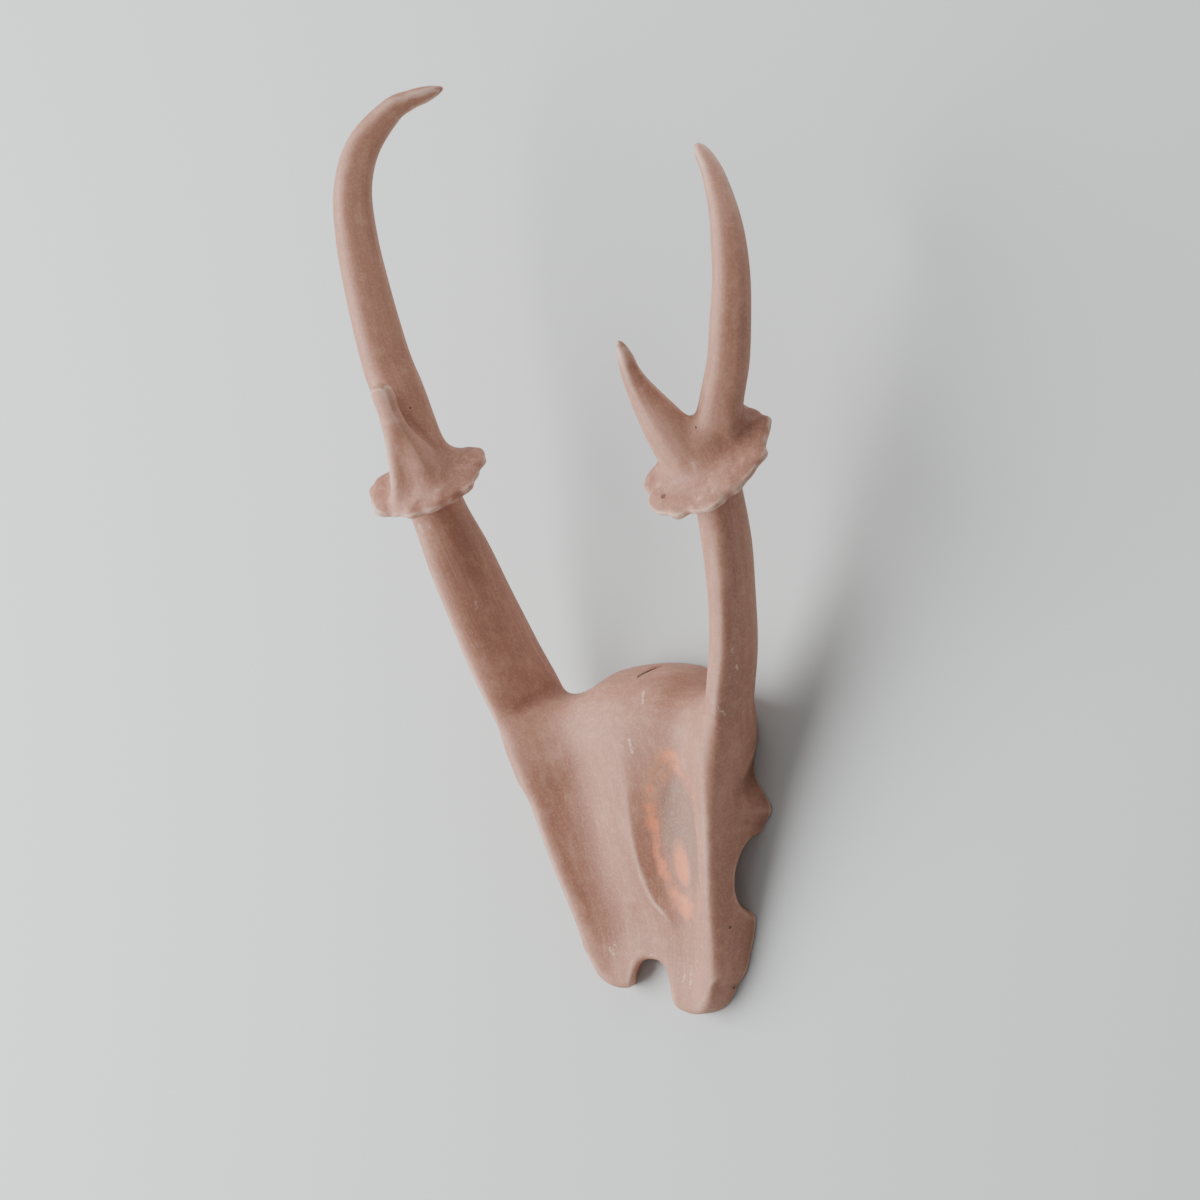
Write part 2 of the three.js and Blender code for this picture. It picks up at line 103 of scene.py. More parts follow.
PEDICLE_TOP, PEDICLE_TOP_ROUNDING = 2.1, 0.5  # below the middle plane of the burr
PEDICLES_ONLY_Y = 110  # behind this there is nothing of the cap but its pedicles

# Antlers. Rows of beam and tine: x, y, z, half-width, half-thickness.
LEFT = {
    "side": 1,
    "at": (43.7, 133.8, 46.6), "axis": (-0.06, 0.57, 0.82), "long": (0.69, 0.5, -0.5),
    "reach": (17.4, 17, 14.5),  # half-size along long, then to the near and the far side of it
    "beam": [
        (44.6, 132, 44, 6.91, 6.21), (47.6, 141, 47.6, 6.53, 5.63), (50.2, 148, 49.6, 6.14, 5.24),
        (53.4, 156.5, 51.6, 5.76, 5.04), (56.3, 166, 54.9, 5.47, 4.85), (58, 175, 57, 5.18, 4.46),
        (57.5, 184, 57.6, 4.7, 4.07), (55.1, 191.7, 56.2, 3.74, 3.4), (50.2, 200, 52.6, 2.88, 2.72),
        (46.4, 204.6, 49.8, 2.3, 2.23),
    ],
    "beam_point": (39.6, 210.9, 44.8),
    "tine": [
        (43.8, 130.5, 48.2, 7, 5), (41.3, 135.3, 52.1, 7.2, 5.6), (37.7, 142.7, 56.8, 5.5, 5),
        (34.8, 149.7, 61.1, 3.5, 3.3), (33.8, 153.9, 63.8, 2.5, 2.4),
    ],
    "tine_point": (33.4, 161, 67.9),
    "tine_broad": (0.98, 0, -0.2),
    "keels": [],
}
RIGHT = {
    "side": -1,
    "at": (-44, 135.6, 46.6), "axis": (0.1, 0.7, 0.7), "long": (0.69, 0.1, -0.5),
    "reach": (16, 16.8, 7.5),
    "beam": [
        (-44, 134, 45, 7.1, 6.4), (-46.8, 144.5, 48.1, 6.72, 5.82), (-50.4, 156, 50, 6.53, 5.43),
        (-53.8, 165.5, 51.6, 6.34, 5.24), (-56.8, 181.8, 54.9, 5.86, 4.85), (-59.3, 197, 57, 5.38, 4.66),
        (-59.8, 210, 58, 4.9, 4.37), (-57.7, 221, 56.4, 4.42, 4.07), (-51.6, 230, 52.8, 3.17, 3.1),
        (-47.4, 232.9, 50, 2.4, 2.33),
    ],
    "beam_point": (-40.4, 236.1, 44.8),
    "tine": [
        (-41.2, 132, 50.5, 8, 7), (-42, 139, 54.6, 5.2, 5), (-43.6, 145.3, 58, 3.2, 3),
        (-45.1, 150.3, 60.2, 3, 2.8), (-46, 154, 61.2, 3.3, 3), (-46.6, 156.1, 61.9, 2.9, 2.7),
    ],
    "tine_point": (-46.9, 157.8, 62.3),
    "tine_broad": (-0.8, 0, -0.6),
    "keels": [
        [
            (-44.6, 147, 60.4, 1.2, 1.2), (-44, 140, 59.8, 1.3, 1.5), (-43.8, 134, 58.6, 1.4, 1.6),
            (-44.4, 129, 57.4, 1.3, 1.3),
        ],
    ],
}
BEAM_BROAD = (0.62, 0, 0.78)  # for the animal's left
BEAM_POWER = 2.8  # four blunt edges
TINE_POWER = 1.7  # an edge down the front
TINE_FILLET = 4
KEEL_BROAD = (0.8, 0, -0.6)  # for the animal's left
KEEL_FILLET = 3.6
POINT_STEPS = (0.45, 0.75, 0.92, 0.985)  # rows added on the way to a point, as shares of the way
BURR_HALF_THICKNESS = 2.7
BURR_POWER = 2.6  # a blunt rim
BURR_FLARE = 4.4
BURR_UNDERSIDE, BURR_EDGE_ROUNDING = 1.8, 0.8  # below the middle plane
BURR_SCALLOPS = [(7, 0.03, 1, 0), (11, 0.022, 0, 2), (19, 0.014, 3, 0)]  # waves, size, shift by side, shift
BURR_LUMPS = [(0.5, 4.6, 21), (0.2, 2.1, 22)]  # height, width, seed
BURR_LUMPS_FADE = (0.45, 0.8)  # the lumps set in between these shares of the way to the rim

# Sampling of each piece: cell size, and the box it lies in.
CAP_CELL, CAP_SPAN = 0.72, ((-60, -8, -3), (60, 148, 62))
ANTLER_CELL = 0.42
LEFT_SPAN = ((22, 114, 26), (68, 216, 76))
RIGHT_SPAN = ((-68, 116, 30), (-22, 241, 70))
COARSE = 4  # cells along a block, when the surface is looked for
EDGE_SIZE, HOLLOW_SIZE = 0.9, 4  # mm, over which an edge and a broad hollow are felt
GRAIN_WIDTH = 22  # half-width to which the plate's streaks are drawn in
GRAIN_CHANGE = (62, 92)  # y between which the streaks turn from the plate to the pedicles

# Rubbed patch in the left trough, x and y.
PATCH_AT, PATCH_SIZE = (14.5, 43), (8.8, 19)
SPOT_AT, SPOT_SIZE = (12.6, 35.5), (2.6, 5.6)
FOOT_AT, FOOT_SIZE = (9, 26.5), (2.8, 3.6)
RING_RADIUS, RING_WIDTH = 8.5, 1.5  # of the orange ring around it


def unit(v):
    v = np.asarray(v, float)
    return v / np.linalg.norm(v)


def smin(a, b, k):
    """The smaller of two distances, with the corner between them rounded over k."""
    h = np.maximum(k - np.abs(a - b), 0) / k
    return np.minimum(a, b) - h * h * k / 4


def smax(a, b, k):
    """The larger of two distances, with the corner between them rounded over k."""
    return -smin(-a, -b, k)


def smooth(start, end, x):
    """Eases from 0 at the start to 1 at the end."""
    t = np.clip((x - start) / (end - start), 0, 1)
    return t * t * (3 - 2 * t)


def bell(offset, width):
    """1 where the offset is 0, falling away over the width."""
    return np.exp(-((offset / width) ** 2))


def oval(offsets, middle, size):
    """1 on an ellipse or ellipsoid, less inside it and more outside."""
    return np.sqrt(sum(((o - m) / s) ** 2 for o, m, s in zip(offsets, middle, size)))


def squarish(a, b, power=2.4):
    """Like the hypotenuse of a and b, but 1 along a squarer curve."""
    return (np.abs(a) ** power + np.abs(b) ** power) ** (1 / power)


def profile(rows, column=1):
    """Smooth function of the rows' first number that passes through the given column."""
    xs = np.array([r[0] for r in rows], float)
    ys = np.array([r[column] for r in rows], float)
    slopes = np.diff(ys) / np.diff(xs)
    tangents = np.concatenate([slopes[:1], (slopes[1:] + slopes[:-1]) / 2, slopes[-1:]])

    def at(x):
        x = np.clip(x, xs[0], xs[-1])
        i = np.clip(np.searchsorted(xs, x, side="right") - 1, 0, len(xs) - 2)
        width = xs[i + 1] - xs[i]
        t = (x - xs[i]) / width
        t2, t3 = t * t, t * t * t
        return (
            (2 * t3 - 3 * t2 + 1) * ys[i] + (t3 - 2 * t2 + t) * width * tangents[i]
            + (3 * t2 - 2 * t3) * ys[i + 1] + (t3 - t2) * width * tangents[i + 1]
        )

    return at


def spline(rows, count):
    """Smooth run through rows of any length, as count points."""
    r = np.asarray(rows, float)
    r = np.vstack([2 * r[0] - r[1], r, 2 * r[-1] - r[-2]])
    last = len(r) - 3
    u = np.linspace(0, last, count)
    i = np.minimum(u.astype(int), last - 1)
    t = (u - i)[:, None]
    a, b, c, d = r[i], r[i + 1], r[i + 2], r[i + 3]
    return 0.5 * (
        2 * b + (c - a) * t + (2 * a - 5 * b + 4 * c - d) * t**2 + (3 * b - a - 3 * c + d) * t**3
    )


def lump(offsets, sizes, power=2.0):
    """Rough distance to an ellipsoid, with flatter sides and corners where the power is not 2."""
    ratios = [np.abs(offset) / size for offset, size in zip(offsets, sizes)]
    k = sum(r**power for r in ratios) ** (1 / power) + 1e-9
    grade = np.sqrt(sum((r ** (power - 1) / size) ** 2 for r, size in zip(ratios, sizes))) + 1e-9
    return (k - 1) * k ** (power - 1) / grade


class Stalk:
    """Curved stalk of rounded section. Rows: x, y, z, half-size along broad and across it."""

    COUNT = 280  # places along the run
    MARGIN = 16  # beyond this distance only a large number is given

    def __init__(self, rows, broad, power=2.0):
        self.power = power
        run = spline(rows, self.COUNT)
        self.place, self.sizes = run[:, :3], run[:, 3:5]
        ahead = np.gradient(self.place, axis=0)
        self.gaps = np.linalg.norm(ahead, axis=1)
        self.ahead = ahead / self.gaps[:, None]
        wide = unit(broad) - self.ahead * (self.ahead @ unit(broad))[:, None]
        self.wide = wide / np.linalg.norm(wide, axis=1)[:, None]
        self.thin = np.cross(self.ahead, self.wide)
        self.gone = np.concatenate([[0], np.cumsum(np.linalg.norm(np.diff(self.place, axis=0), axis=1))])
        self.table = np.hstack([
            self.place, self.sizes, self.ahead, self.wide, self.thin, self.gone[:, None],
        ])
        reach = self.sizes.max() + self.MARGIN
        self.low, self.high = self.place.min(0) - reach, self.place.max(0) + reach

    def locate(self, points):
        """Offset along broad, offset across it, overshoot past the ends, both half-sizes, distance gone."""
        nearest = np.empty(len(points), int)
        pull = (self.place**2).sum(1)
        for i in range(0, len(points), 60000):
            part = points[i:i + 60000]
            nearest[i:i + 60000] = np.argmin(pull - 2 * part @ self.place.T, axis=1)
        ahead = ((points - self.place[nearest]) * self.ahead[nearest]).sum(1) / self.gaps[nearest]
        where = np.clip(nearest + ahead, 0, self.COUNT - 1)
        i = np.minimum(where.astype(int), self.COUNT - 2)
        w = (where - i)[:, None]
        row = self.table[i] * (1 - w) + self.table[i + 1] * w
        q = points - row[:, :3]
        u, v, s = (q * row[:, 8:11]).sum(1), (q * row[:, 11:14]).sum(1), (q * row[:, 5:8]).sum(1)
        return u, v, s, row[:, 3], row[:, 4], row[:, 14]

    def distance(self, points):
        near = np.all((points > self.low) & (points < self.high), axis=1)
        value = np.full(len(points), 1000.0)
        if near.any():
            u, v, s, a, b, _ = self.locate(points[near])
            value[near] = lump((u, v, s), (a, b, np.minimum(a, b)), self.power)
        return value


def to_point(rows, tip):
    """The rows of a stalk, with more added that draw it out from the last one to a blunt point."""
    end, sizes = np.array(rows[-1][:3], float), np.array(rows[-1][3:5], float)
    added = [
        (*(end + share * (np.array(tip) - end)), *(sizes * (1 - share**1.7) ** 0.6))
        for share in POINT_STEPS
    ]
    return [*rows, *added]


ridge_x, ridge_z = profile(RIDGE, 1), profile(RIDGE, 2)
sill, trough, bulge = profile(SILL), profile(TROUGH), profile(BULGE)
crease_x, crease_depth = profile(CREASE), profile(CREASE_DEPTH)


def mirrored(rows):
    return [(-r[0], *r[1:]) for r in rows]


PEDICLES = {
    1: Stalk(PEDICLE, PEDICLE_BROAD, PEDICLE_POWER),
    -1: Stalk(mirrored(PEDICLE), mirrored([PEDICLE_BROAD])[0], PEDICLE_POWER),
}
for antler in (LEFT, RIGHT):
    turned = np.array([antler["side"], 1, 1])
    beam = to_point(antler["beam"], antler["beam_point"])
    tine = to_point(antler["tine"], antler["tine_point"])
    antler["beam_stalk"] = Stalk(beam, turned * BEAM_BROAD, BEAM_POWER)
    antler["tine_stalk"] = Stalk(tine, antler["tine_broad"], TINE_POWER)
    antler["keel_stalks"] = [Stalk(rows, turned * KEEL_BROAD) for rows in antler["keels"]]


def burr_frame(antler):
    """Axis of the burr, its long direction and the direction across that."""
    axis = unit(antler["axis"])
    long = np.array(antler["long"], float)
    long = unit(long - axis * (long @ axis))
    return axis, long, np.cross(axis, long)


def upper_face(x, y, yy):
    """Height of the upper face: a trough beside each ridge and a swelling between them, with a crease."""
    from_crease = x - crease_x(y)
    kept = np.exp(-((np.maximum(-from_crease - 1, 0) / BULGE_REACH) ** 2.4))
    fall_start, fall_end = CREASE_FALL
    dropped = smooth(fall_start, fall_end + CREASE_WIDENING * smooth(*CREASE_FADE, y), from_crease)
    rise = bulge(y) * kept * (1 - dropped)
    rise = rise - crease_depth(y) * bell(from_crease - GROOVE_X, GROOVE_WIDTH)
    rise = rise + LIP_SHARE * crease_depth(y) * bell(from_crease - LIP_X, LIP_WIDTH)
    crest = ridge_x(yy) - CREST_INSET
    up_wall = np.minimum(np.maximum(np.abs(x) / crest - VALLEY, 0) / (1 - VALLEY), 1.6)
    face = ridge_z(yy) + CREST_ABOVE - trough(yy) * (1 - up_wall**TROUGH_POWER) + rise
    shoulder = ridge_z(yy) + SHOULDER_ABOVE - SHOULDER_SLOPE * (np.abs(x) - crest)
    return smin(face, shoulder, CREST_ROUNDING)


def side_wall(yy, z):
    """Half-width of the plate at the height z, on the way from the sill to the ridge."""
    up = np.clip(z / ridge_z(yy), -0.3, 1.1)
    at_ridge = ridge_x(yy) + BEVEL * (1 - smooth(*BEVEL_FADE, yy))
    return sill(yy) + (at_ridge - sill(yy)) * up


def braincase_back(x, y, z):
    """1 where the braincase ends, which rounds down to its rim at the back."""
    aside = np.abs(x - DOME_X)
    span = REAR_Y - DOME_CURVE * aside**2 - DOME_STEP * smooth(*DOME_STEP_FADE, aside) - DOME_START_Y
    back = np.maximum(y - DOME_START_Y, 0) / np.maximum(span, DOME_LEAST_SPAN)
    return squarish(back, np.maximum(z, 0) / DOME_HEIGHT)


def nasal_lobes(x, yy, z):
    """Distance outside the two rounded lobes of the nose end, well below 0 behind them."""
    ax = np.abs(x)
    outer = LOBE_OUTER + LOBE_FLARE * np.clip(LOBE_OUTER - z, 0, LOBE_OUTER)
    across = np.abs(ax - LOBE_X) / np.where(ax > LOBE_X, outer, LOBE_X)
    along = np.maximum(LOBE_Y - yy, 0) / LOBE_LENGTH
    let_go = sum(by * smooth(start, end, yy) for by, start, end in BEHIND_LOBES)
    return (np.hypot(across, along) - 1) * LOBE_SCALE - let_go


def nasal_notch(x, y, z):
    """1 along the wall of the notch between the lobes, less inside it."""
    lean = np.where(x < -1, *NOTCH_LEAN) * (z - NOTCH_MIDDLE_Z)
    return squarish((x - NOTCH_AT[0] - lean) / NOTCH_SIZE[0], (y - NOTCH_AT[1]) / NOTCH_SIZE[1])


def gash(points):
    """Depth cut away by the gash in the back of the braincase."""
    start, end = np.array(SLIT)
    run = end - start
    share = np.clip((points - start) @ run / (run @ run), 0, 1)
    gap = np.linalg.norm(points - start - share[:, None] * run, axis=1)
    return SLIT_DEPTH * bell(gap, SLIT_WIDTH)


def cap_field(points):
    """Rough distance outside the skull cap. Its outline follows yy, which is y with the lobes evened out."""
    x, y, z = points.T
    ax = np.abs(x)
    longer = LEFT_LOBE_LONGER * smooth(*MIDLINE_EASE, x) - RIGHT_LOBE_SHORTER
    yy = y + longer * smooth(*LOBES_FADE, y)
    top = (z - upper_face(x, y, yy)) * FACE_SCALE
    d = smax(top, (ax - side_wall(yy, z)) * WALL_SCALE, RIDGE_ROUNDING)
    d = smax(d, (braincase_back(x, y, z) - 1) * DOME_SCALE, DOME_ROUNDING)
    d = smax(d, nasal_lobes(x, yy, z), LOBE_ROUNDING)
    d = smax(d, (1 - nasal_notch(x, y, z)) * NOTCH_SCALE, NOTCH_ROUNDING)
    for pedicle in PEDICLES.values():
        d = smin(d, pedicle.distance(points), PEDICLE_FILLET)
    d = d + gash(points)
    d = smax(d, (1 - oval((ax, y, z), ORBIT_AT, ORBIT_SIZE)) * ORBIT_SCALE, ORBIT_ROUNDING)
    d = smax(d, (1 - oval((x, y, z), BOWL_AT, BOWL_SIZE)) * BOWL_SCALE, BOWL_ROUNDING)
    d = smax(d, -z, RIM_ROUNDING)
    for antler in (LEFT, RIGHT):
        axis, _, _ = burr_frame(antler)
        below_burr = (points - np.array(antler["at"])) @ axis + PEDICLE_TOP
        here = (antler["side"] * x > 0) & (y > PEDICLES_ONLY_Y)
        d = np.where(here, smax(d, below_burr, PEDICLE_TOP_ROUNDING), d)
    return d


def antler_field(points, antler):
    """Rough distance outside an antler: beam and tine grown out of the burr's ragged ring."""
    axis, long, across = burr_frame(antler)
    q = points - np.array(antler["at"])
    h, u, v = q @ axis, q @ long, q @ across
    turn, rho = np.arctan2(v, u), np.hypot(u, v)
    reach, near, far = antler["reach"]
    depth = np.where(v * np.sign(across[1]) > 0, far, near)
    scallops = 1 + sum(
        size * np.cos(waves * turn + by_side * antler["side"] + shift)
        for waves, size, by_side, shift in BURR_SCALLOPS
    )
    rim = scallops / np.hypot(np.cos(turn) / reach, np.sin(turn) / depth)
    ring = lump((rho, h), (rim, BURR_HALF_THICKNESS), BURR_POWER)
    close = np.abs(ring) < 3
    rough = np.zeros(len(points))
    rough[close] = sum(height * noise(points[close], width, seed) for height, width, seed in BURR_LUMPS)
    ring = ring - rough * smooth(*BURR_LUMPS_FADE, rho / rim)
    beam, tine = antler["beam_stalk"].distance(points), antler["tine_stalk"].distance(points)
    d = smin(smin(beam, tine, TINE_FILLET), ring, BURR_FLARE)
    for keel in antler["keel_stalks"]:
        d = smin(d, keel.distance(points), KEEL_FILLET)
    return smax(d, -(h + BURR_UNDERSIDE), BURR_EDGE_ROUNDING)


def slope(field, points, e=0.02):
    """Gradient of the field, from points that far to either side."""
    steps = e * np.eye(3)
    return np.stack([(field(points + s) - field(points - s)) / (2 * e) for s in steps], 1)


def settle(field, points, limit, passes):
    """Moves points along the field's slope until they lie on the surface."""
    for _ in range(passes):
        g = slope(field, points)
        move = -(field(points) / np.maximum((g * g).sum(1), 0.05))[:, None] * g
        length = np.linalg.norm(move, axis=1)
        points = points + move * np.minimum(1, limit / np.maximum(length, 1e-9))[:, None]
    return points


def sample(field, low, cell, blocks):
    """Field values on a fine grid, worked out only in the blocks that the surface may cross."""
    shape = blocks * COARSE + 1
    axes = [low[m] + cell * np.arange(shape[m]) for m in range(3)]
    rough_axes = [a[::COARSE] for a in axes]
    rough = field(np.stack(np.meshgrid(*rough_axes, indexing="ij"), -1).reshape(-1, 3))
    rough = rough.reshape(blocks + 1)
    near = np.zeros(blocks, bool)
    for corner in itertools.product((0, 1), repeat=3):
        part = tuple(slice(c, c + n) for c, n in zip(corner, blocks))
        near |= np.abs(rough[part]) < 2 * COARSE * cell
    nearest = [np.minimum((np.arange(n) + COARSE // 2) // COARSE, b) for n, b in zip(shape, blocks)]
    value = rough[np.ix_(*nearest)]
    wanted = np.zeros(shape, bool)
    fine = near.repeat(COARSE, 0).repeat(COARSE, 1).repeat(COARSE, 2)
    for corner in itertools.product((0, 1), repeat=3):
        part = tuple(slice(c, c + n) for c, n in zip(corner, blocks * COARSE))
        wanted[part] |= fine
    at = np.argwhere(wanted)
    value[wanted] = field(np.stack([axes[m][at[:, m]] for m in range(3)], 1))
    return value


def skin(field, span, cell, even_passes=2):
    """Closed mesh of four-sided faces along the field's zero level, its vertices evened out."""
    low = np.array(span[0], float)
    blocks = np.ceil((np.array(span[1]) - low) / (cell * COARSE)).astype(int)
    value = sample(field, low, cell, blocks)
    inside = value < 0
    n = np.array(inside.shape)
    filled = np.zeros(n - 1, int)
    corners = list(itertools.product((0, 1), repeat=3))
    for c in corners:
        filled += inside[c[0]:n[0] - 1 + c[0], c[1]:n[1] - 1 + c[1], c[2]:n[2] - 1 + c[2]]
    crossed = (filled > 0) & (filled < 8)
    cells = np.argwhere(crossed)
    number = np.full(n - 1, -1)
    number[crossed] = np.arange(len(cells))

    total, count = np.zeros((len(cells), 3)), np.zeros(len(cells))
    for a, b in itertools.combinations(corners, 2):
        if sum(abs(i - j) for i, j in zip(a, b)) == 1:
            pa, pb = cells + a, cells + b
            va, vb = value[tuple(pa.T)], value[tuple(pb.T)]
            cut = (va < 0) != (vb < 0)
            t = np.where(cut, va / np.where(cut, va - vb, 1), 0)
            total[cut] += (pa + (pb - pa) * t[:, None])[cut]
            count[cut] += 1
    points = low + cell * total / count[:, None]

    faces = []
    for m in range(3):
        others = [o for o in range(3) if o != m]
        before, after = [slice(None)] * 3, [slice(None)] * 3
        before[m], after[m] = slice(0, -1), slice(1, None)
        left, right = inside[tuple(before)], inside[tuple(after)]
        edges = np.argwhere(left != right)
        ring = []
        for back, down in ((1, 1), (0, 1), (0, 0), (1, 0)):
            k = edges.copy()
            k[:, others[0]] -= back
            k[:, others[1]] -= down
            ring.append(number[tuple(k.T)])
        ring = np.stack(ring, 1)
        turned = left[tuple(edges.T)] == (m == 1)
        ring[turned] = ring[turned][:, ::-1]
        faces.append(ring)
    faces = np.vstack(faces)

    points = settle(field, points, 0.4 * cell, 2)
    a, b = faces.ravel(), np.roll(faces, -1, axis=1).ravel()
    share = np.bincount(a, minlength=len(points))[:, None]
    for _ in range(even_passes):
        sums = np.stack([np.bincount(a, points[b, m], len(points)) for m in range(3)], 1)
        points = settle(field, 0.5 * points + 0.5 * sums / share, 0.4 * cell, 1)
    return points, faces


def bend(field, points, size):
    """How sharply the surface bends: above zero on ridges, below zero in hollows, per millimetre."""
    steps = size * np.eye(3)
    around = sum(field(points + s) + field(points - s) for s in steps)
    return (around - 6 * field(points)) / size**2


def noise(points, size, seed):
    """Smooth random numbers from -1 to 1 that change over about that many millimetres."""
    table = np.random.default_rng(seed).uniform(-1, 1, 4096)
    cell = points / size
    low = np.floor(cell).astype(np.int64)
    t = cell - low
    t = t * t * (3 - 2 * t)
    total = np.zeros(len(points))
    for corner in itertools.product((0, 1), repeat=3):
        k = (low + corner) * np.array([73856093, 19349663, 83492791])
        weight = np.prod(np.where(np.array(corner) == 1, t, 1 - t), axis=1)
        total += weight * table[(k[:, 0] ^ k[:, 1] ^ k[:, 2]) & 4095]
    return total


def antler_grain(points, antler):
    """Coordinates that run with beam or tine, so that streaks follow it: twice across it, then along."""
    beam = antler["beam_stalk"].locate(points)
    tine = antler["tine_stalk"].locate(points)
    on_tine = np.hypot(tine[0], tine[1]) / tine[3] < np.hypot(beam[0], beam[1]) / beam[3]
    across, aside, _, _, _, gone = np.where(on_tine, tine, beam)
    return np.stack([across, aside, gone], 1)


def cap_grain(points):
    """Coordinates that run with the plate and then with the pedicles, across twice and then along."""
    x, y, z = points.T
    plate = np.stack([x * GRAIN_WIDTH / ridge_x(y), z, y], 1)
    across, aside, _, _, _, _ = PEDICLES[1].locate(np.stack([np.abs(x), y, z], 1))
    pedicle = np.stack([across + np.where(x > 0, GRAIN_WIDTH, -GRAIN_WIDTH), aside, y], 1)
    share = smooth(*GRAIN_CHANGE, y)[:, None]
    return plate * (1 - share) + pedicle * share


def worn(points):
    """Above 0 where the clay is rubbed to its orange body, in a broken ring, a spot and a foot in the left
    trough, and below 0 inside the ring, where the colour is made darker."""
    x, y, z = points.T
    (middle_x, middle_y), (half_x, half_y) = PATCH_AT, PATCH_SIZE
    turn = np.arctan2((y - middle_y) / half_y, (x - middle_x) / half_x)
    radius = oval((x, y), PATCH_AT, PATCH_SIZE) + 0.06 * noise(points, 3, 13)
    patchy = np.clip(0.75 + 0.6 * noise(points, 2.4, 11) + 0.35 * noise(points, 0.9, 12), 0, 1.1)
    strength = 0.35 + 0.65 * smooth(0, 0.8, np.cos(turn + 2.7)) + 0.5 * bell(turn - 1.4, 0.7)
    ring = bell((radius - 1) * RING_RADIUS, RING_WIDTH) * strength
    spot = np.exp(-(oval((x, y), SPOT_AT, SPOT_SIZE) ** 4))
    foot = np.exp(-(oval((x, y), FOOT_AT, FOOT_SIZE) ** 3)) * 0.5
    orange = np.clip(np.maximum(np.maximum(ring, foot) * patchy, spot * (0.7 + 0.3 * patchy)), 0, 1)
    dull = smooth(1, 0.6, radius)
    in_trough = smooth(4, 10, z) * (x > 0)
    return np.where(orange > 0.12, orange, -dull * smooth(0.12, 0, orange)) * in_trough


def add_piece(name, points, faces, values):
    """Mesh object in the frame's place and units, with the values kept on its vertices."""
    mesh = bpy.data.meshes.new(name)
    mesh.from_pydata(((points - MIDDLE) * MM).tolist(), [], faces.tolist())
    for key, value in values.items():
        kind = "FLOAT" if value.ndim == 1 else "FLOAT_VECTOR"
        attribute = mesh.attributes.new(key, kind, "POINT")
        attribute.data.foreach_set("value" if value.ndim == 1 else "vector", value.astype(np.float32).ravel())
    mesh.polygons.foreach_set("use_smooth", np.ones(len(faces), bool))
    mesh.update()
    piece = bpy.data.objects.new(name, mesh)
    bpy.context.scene.collection.objects.link(piece)
    return piece


def make_piece(node, field, span, cell, grain, material):
    """Skin over the field that stands for one CAD node."""
    points, faces = skin(field, span, cell * (1))
    points[:, 2] = np.maximum(points[:, 2], 0)
    values = {
        "bend": bend(field, points, EDGE_SIZE), "hollow": -bend(field, points, HOLLOW_SIZE),
        "grain": grain(points), "worn": worn(points),
    }
    piece = add_piece(node + "_surface", points, faces, values)
    piece.data.materials.append(material)
    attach(piece, "root")
    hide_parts(node)
    return piece


class Nodes:
    """Short way to write a material's nodes."""

    def __init__(self, material):
        material.use_nodes = True
        self.tree = material.node_tree
        self.shader = self.tree.nodes["Principled BSDF"]

    def add(self, kind, links=(), **settings):
        node = self.tree.nodes.new("ShaderNode" + kind)
        for key, value in settings.items():
            setattr(node, key, value)
        for key, value in dict(links).items():
            self.put(value, node.inputs[key])
        return node

    def put(self, value, socket):
        if isinstance(value, bpy.types.NodeSocket):
            self.tree.links.new(value, socket)
        else:
            socket.default_value = value

    def attribute(self, name, output):
        return self.add("Attribute", attribute_name=name).outputs[output]

    def noise(self, vector, scale, detail=3, roughness=0.55):
        links = {"Vector": vector, "Scale": scale, "Detail": detail, "Roughness": roughness}
        return self.add("TexNoise", links).outputs["Fac"]

    def span(self, value, low, high, to_low=0.0, to_high=1.0):
        links = {"Value": value, "From Min": low, "From Max": high, "To Min": to_low, "To Max": to_high}
        return self.add("MapRange", links, interpolation_type="SMOOTHSTEP").outputs["Result"]

    def math(self, operation, a, b=0.0):
        return self.add("Math", {0: a, 1: b}, operation=operation).outputs[0]

    def stretch(self, vector, by):
        return self.add("VectorMath", {0: vector, 1: by}, operation="MULTIPLY").outputs[0]

    def mix(self, share, a, b, blend="MIX"):
        node = self.add("Mix", data_type="RGBA", blend_type=blend)
        self.put(share, node.inputs[0])
        self.put(a, node.inputs[6])
        self.put(b, node.inputs[7])
        return node.outputs[2]

    def near_line(self, place, start, end, width):
        """1 on a short line between two places of the surface, 0 farther from it than its width."""
        start, end = on_skin(start), on_skin(end)
        along = end - start
        length = max(np.linalg.norm(along), 1e-3)
        w = self.add("VectorMath", {0: place, 1: tuple(start)}, operation="SUBTRACT").outputs[0]
        t = self.add("VectorMath", {0: w, 1: tuple(along / length**2)}, operation="DOT_PRODUCT").outputs[1]
        t = self.add("Clamp", {"Value": t}).outputs[0]
        back = self.add("VectorMath", {0: tuple(-along), "Scale": t}, operation="SCALE").outputs[0]
        gap = self.add("VectorMath", {0: w, 1: back}, operation="ADD").outputs[0]
        far = self.add("VectorMath", {0: gap}, operation="LENGTH").outputs[1]
        return self.span(far, width * 0.35, width, 1.0, 0.0)

    def lines(self, place, rows):
        """1 on any of the short lines, each given by its start, end and width."""
        share = 0.0
        for start, end, width in rows:
            share = self.math("MAXIMUM", share, self.near_line(place, start, end, width))
        return share


